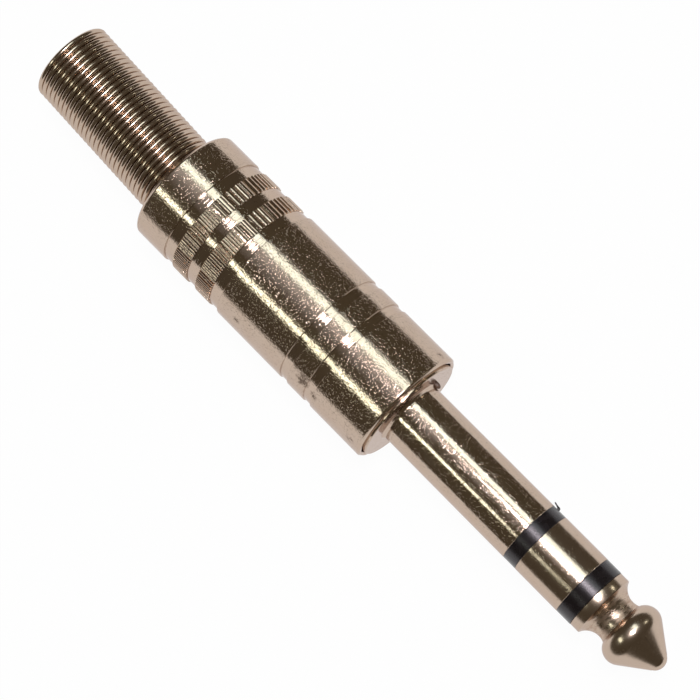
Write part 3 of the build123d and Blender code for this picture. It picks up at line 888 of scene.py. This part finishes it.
class JACK_OT_stage(bpy.types.Operator):
    """Lays the floor, hangs the lamps and sets the camera."""

    bl_idname = "jack.stage"
    bl_label = "Floor, Lamps and Camera"

    def lamp(self, name, degrees, along, distance, wide, long, radiance, colour, shape="RECTANGLE"):
        """A soft lamp at an angle round the plug from straight above, its brightness given as radiance."""
        turn = math.radians(degrees)
        data = bpy.data.lights.new(name, "AREA")
        data.shape = shape
        data.size, data.size_y = long, wide
        data.energy = radiance * math.pi * wide * long * (math.pi / 4 if shape == "ELLIPSE" else 1)
        data.color = colour
        thing = bpy.data.objects.new(name, data)
        bpy.context.scene.collection.objects.link(thing)
        place = Vector((along, distance * math.sin(turn), distance * math.cos(turn)))
        back = Vector((0, math.sin(turn), math.cos(turn)))
        side = Vector((1, 0, 0))
        up = back.cross(side)
        thing.matrix_world = Matrix.Translation(place) @ Matrix((side, up, back)).transposed().to_4x4()

    def execute(self, context):
        scene = context.scene
        floor_mesh = bpy.data.meshes.new("floor")
        half, near, level = 0.14, 0.056, -barrel_radius * MM
        floor_mesh.from_pydata(
            [(-half, -half, level), (half, -half, level), (half, near, level), (-half, near, level)],
            [], [(0, 1, 2, 3)],
        )
        floor = piece_of("floor", floor_mesh)
        floor_mesh.materials.append(floor_finish())

        warm, cool = (0.95, 1.0, 0.86), (0.96, 1.0, 1.06)
        self.lamp("upper_strip", 26.0, -0.25, 1.0, 0.25, 0.66, 2.4, (0.88, 1.05, 1.04))
        self.lamp("lower_strip", -38.7, -0.37, 1.0, 0.14, 0.52, 4.2, (0.93, 1.03, 0.90))
        self.lamp("flash", 9.0, 0.05, 0.95, 0.24, 0.26, 36.0, (1.0, 0.97, 1.01), "ELLIPSE")
        self.lamp("side_window", 66.0, 0.20, 1.0, 0.10, 0.10, 8.0, warm, "ELLIPSE")
        bounces = ((-11, 0.06), (-5, 0.11), (1, 0.19), (7, 0.32), (13, 0.50))
        for number, (degrees, radiance) in enumerate(bounces):
            self.lamp(f"wall_bounce_{number + 1}", degrees, -0.30, 1.3, 0.136, 1.0, radiance, cool)

        world = bpy.data.worlds.new("room")
        world.use_nodes = True
        world.node_tree.nodes.clear()
        net = Net(world.node_tree)
        path = net.add("ShaderNodeLightPath", output="Is Camera Ray")
        dim = net.add("ShaderNodeBackground", None, {"Color": (1.0, 0.84, 0.60, 1), "Strength": 0.092})
        white = net.add("ShaderNodeBackground", None, {"Color": (1, 1, 1, 1), "Strength": 1.0})
        mixed = net.add("ShaderNodeMixShader", None, {0: path, 1: dim, 2: white})
        net.add("ShaderNodeOutputWorld", None, {"Surface": mixed})
        scene.world = world

        elevation, roll, distance, aim_x = math.radians(77.83), math.radians(-44.84), 0.23342, -0.00777
        toward = Vector((math.cos(elevation), 0, math.sin(elevation)))
        flat_right = (-toward).cross(Vector((0, 0, 1))).normalized()
        flat_up = flat_right.cross(-toward)
        right = flat_right * math.cos(roll) + flat_up * math.sin(roll)
        up = flat_up * math.cos(roll) - flat_right * math.sin(roll)
        data = bpy.data.cameras.new("camera")
        focal_pixels, picture_pixels, sensor_width = 2601.9, 700, 36
        data.sensor_width = sensor_width
        data.lens = focal_pixels / picture_pixels * sensor_width
        data.clip_start, data.clip_end = 0.01, 20
        camera = bpy.data.objects.new("camera", data)
        scene.collection.objects.link(camera)
        place = Vector((aim_x, 0.0001, 0)) + toward * distance
        camera.matrix_world = Matrix.Translation(place) @ Matrix((right, up, toward)).transposed().to_4x4()
        scene.camera = camera
        scene.view_settings.view_transform = "Standard"
        return {"FINISHED"}


STEPS = (
    JACK_OT_stage, JACK_OT_body, JACK_OT_contacts, JACK_OT_collars, JACK_OT_barrel, JACK_OT_knurl,
    JACK_OT_spring, JACK_OT_inside,
)


class JACK_PT_panel(bpy.types.Panel):
    """Lists the plug's sizes, finishes and pieces."""

    bl_idname = "JACK_PT_panel"
    bl_label = "Jack Plug"
    bl_space_type = "VIEW_3D"
    bl_region_type = "UI"
    bl_category = "Jack Plug"

    def draw(self, context):
        layout = self.layout
        for group in (context.scene.plug_sizes, context.scene.plug_finish):
            box = layout.box()
            for name in group.__annotations__:
                box.prop(group, name)
        for step in STEPS:
            layout.operator(step.bl_idname)


CLASSES = (PlugSizes, PlugFinish, *STEPS, JACK_PT_panel)


def register():
    for item in CLASSES:
        bpy.utils.register_class(item)
    bpy.types.Scene.plug_sizes = PointerProperty(type=PlugSizes)
    bpy.types.Scene.plug_finish = PointerProperty(type=PlugFinish)


def unregister():
    del bpy.types.Scene.plug_finish
    del bpy.types.Scene.plug_sizes
    for item in reversed(CLASSES):
        bpy.utils.unregister_class(item)


def main():
    """Makes every piece in order."""
    register()
    for step in STEPS:
        group, name = step.bl_idname.split(".")
        getattr(getattr(bpy.ops, group), name)()


if __name__ == "__main__":
    main()
